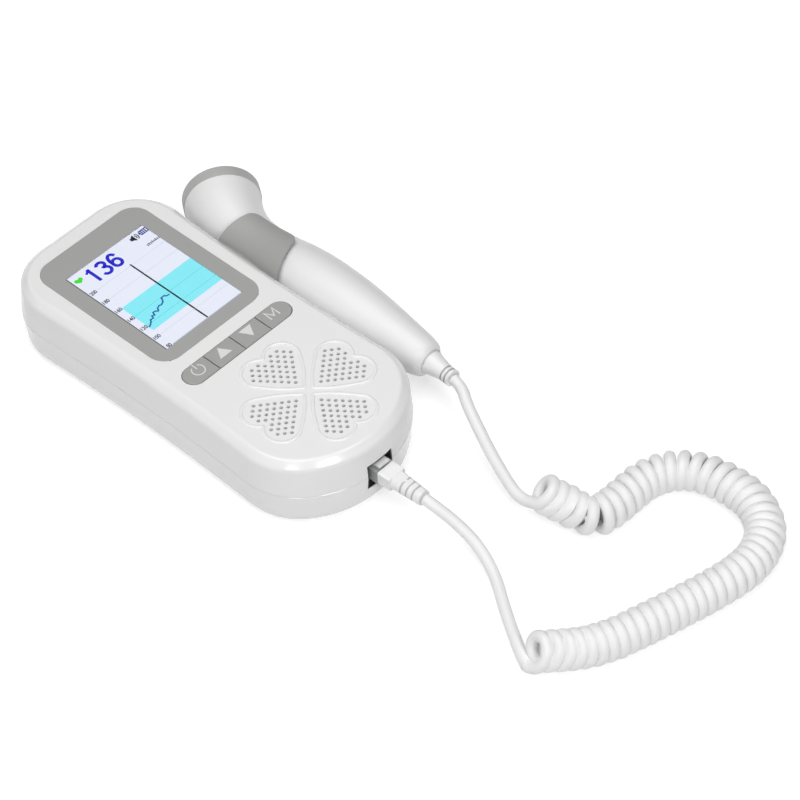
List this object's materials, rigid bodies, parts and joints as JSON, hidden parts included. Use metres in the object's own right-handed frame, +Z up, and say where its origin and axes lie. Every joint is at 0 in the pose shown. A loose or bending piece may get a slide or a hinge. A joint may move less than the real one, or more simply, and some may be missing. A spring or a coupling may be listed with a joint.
{
  "type": "fetal doppler monitor",
  "caption": "Hand-held fetal heart-rate monitor with colour screen, keys and speaker grille, and a coiled-cord ultrasound probe docked in a side clip.",
  "frame": {"origin": "centre of the monitor's flat back, where it rests on the table", "axes": "+Z up out of the screen, +Y to the top of the screen, +X to the side that carries the probe"},
  "size_m": [0.1192, 0.2751, 0.0303],
  "materials": {
    "white_shell": "glossy white ABS",
    "grey_trim": "satin grey ABS",
    "key_grey": "satin grey",
    "clear_window": "clear",
    "display": "lit display",
    "white_frame": "matt",
    "ribbon": "polyimide",
    "board_green": "solder mask",
    "chip_black": "matt black",
    "steel": "zinc plated",
    "silicone": "matt silicone",
    "cloth": "black acoustic cloth",
    "foam": "soft foam",
    "cone_paper": "paper",
    "magnet": "ferrite",
    "cell_wrap": "printed wrap, left bare",
    "jack_black": "satin black",
    "gold": "gilt",
    "clear_plug": "clear polycarbonate",
    "white_pvc": "soft satin PVC",
    "ceramic": "silvered piezo ceramic",
    "absorber": "loaded epoxy",
    "face_grey": "fine satin"
  },
  "bodies": {
    "monitor": {"front_shell": "white_shell", "rear_shell": "white_shell", "case_screws": "steel", "screen_bezel": "grey_trim", "screen_window": "clear_window", "lcd_panel": "display", "lcd_frame": "white_frame", "lcd_ribbon": "ribbon", "main_board": "board_green", "board_chips": "chip_black", "board_screws": "steel", "key_mat": "silicone", "key_switches": "chip_black", "dust_cloth": "cloth", "speaker_gasket": "foam", "speaker_basket": "steel", "speaker_cone": "cone_paper", "speaker_magnet": "magnet", "battery_left": "cell_wrap", "battery_right": "cell_wrap", "battery_springs": "steel", "battery_plates": "steel", "headphone_jack": "jack_black", "probe_jack": "jack_black", "jack_contacts": "gold", "probe_clip": "grey_trim", "clip_screws": "steel", "cord_coil": "white_pvc"},
    "power_key": {"power_key": "key_grey"},
    "up_key": {"up_key": "key_grey"},
    "down_key": {"down_key": "key_grey"},
    "mode_key": {"mode_key": "key_grey"},
    "battery_door": {"battery_door": "white_shell"},
    "probe": {"probe_upper_shell": "white_shell", "probe_lower_shell": "white_shell", "probe_screws": "steel", "probe_cap": "grey_trim", "probe_face": "face_grey", "crystals": "ceramic", "crystal_backing": "absorber", "probe_board": "board_green", "probe_strain_relief": "white_pvc", "cord_probe_run": "white_pvc"},
    "plug": {"plug_body": "clear_plug", "plug_contacts": "gold", "plug_boot": "white_pvc", "cord_plug_run": "white_pvc"},
    "plug_latch": {"plug_latch": "clear_plug"}
  },
  "joints": [
    {"name": "power_key_press", "type": "slide", "parent": "monitor", "child": "power_key", "axis": [0, 0, -1], "range_m": [0, 0.0005], "stiffness_N_per_m": 800, "springref_m": -0.0002},
    {"name": "up_key_press", "type": "slide", "parent": "monitor", "child": "up_key", "axis": [0, 0, -1], "range_m": [0, 0.0005], "stiffness_N_per_m": 800, "springref_m": -0.0002},
    {"name": "down_key_press", "type": "slide", "parent": "monitor", "child": "down_key", "axis": [0, 0, -1], "range_m": [0, 0.0005], "stiffness_N_per_m": 800, "springref_m": -0.0002},
    {"name": "mode_key_press", "type": "slide", "parent": "monitor", "child": "mode_key", "axis": [0, 0, -1], "range_m": [0, 0.0005], "stiffness_N_per_m": 800, "springref_m": -0.0002},
    {"name": "battery_door_slide", "type": "slide", "parent": "monitor", "child": "battery_door", "axis": [0, 1, 0], "range_m": [0, 0.062]},
    {"name": "probe_undock", "type": "slide", "parent": "monitor", "child": "probe", "axis": [1, 0, 0], "range_m": [0, 0.06], "deforming": ["cord_probe_run"]},
    {"name": "plug_pull", "type": "slide", "parent": "monitor", "child": "plug", "axis": [0, -1, 0], "range_m": [0, 0.0125], "deforming": ["cord_plug_run"]},
    {"name": "plug_latch_press", "type": "hinge", "parent": "plug", "child": "plug_latch", "pos_m": [0, -0.0648, 0.01805], "axis": [1, 0, 0], "range_deg": [0, 4], "stiffness_Nm_per_rad": 0.17}
  ]
}
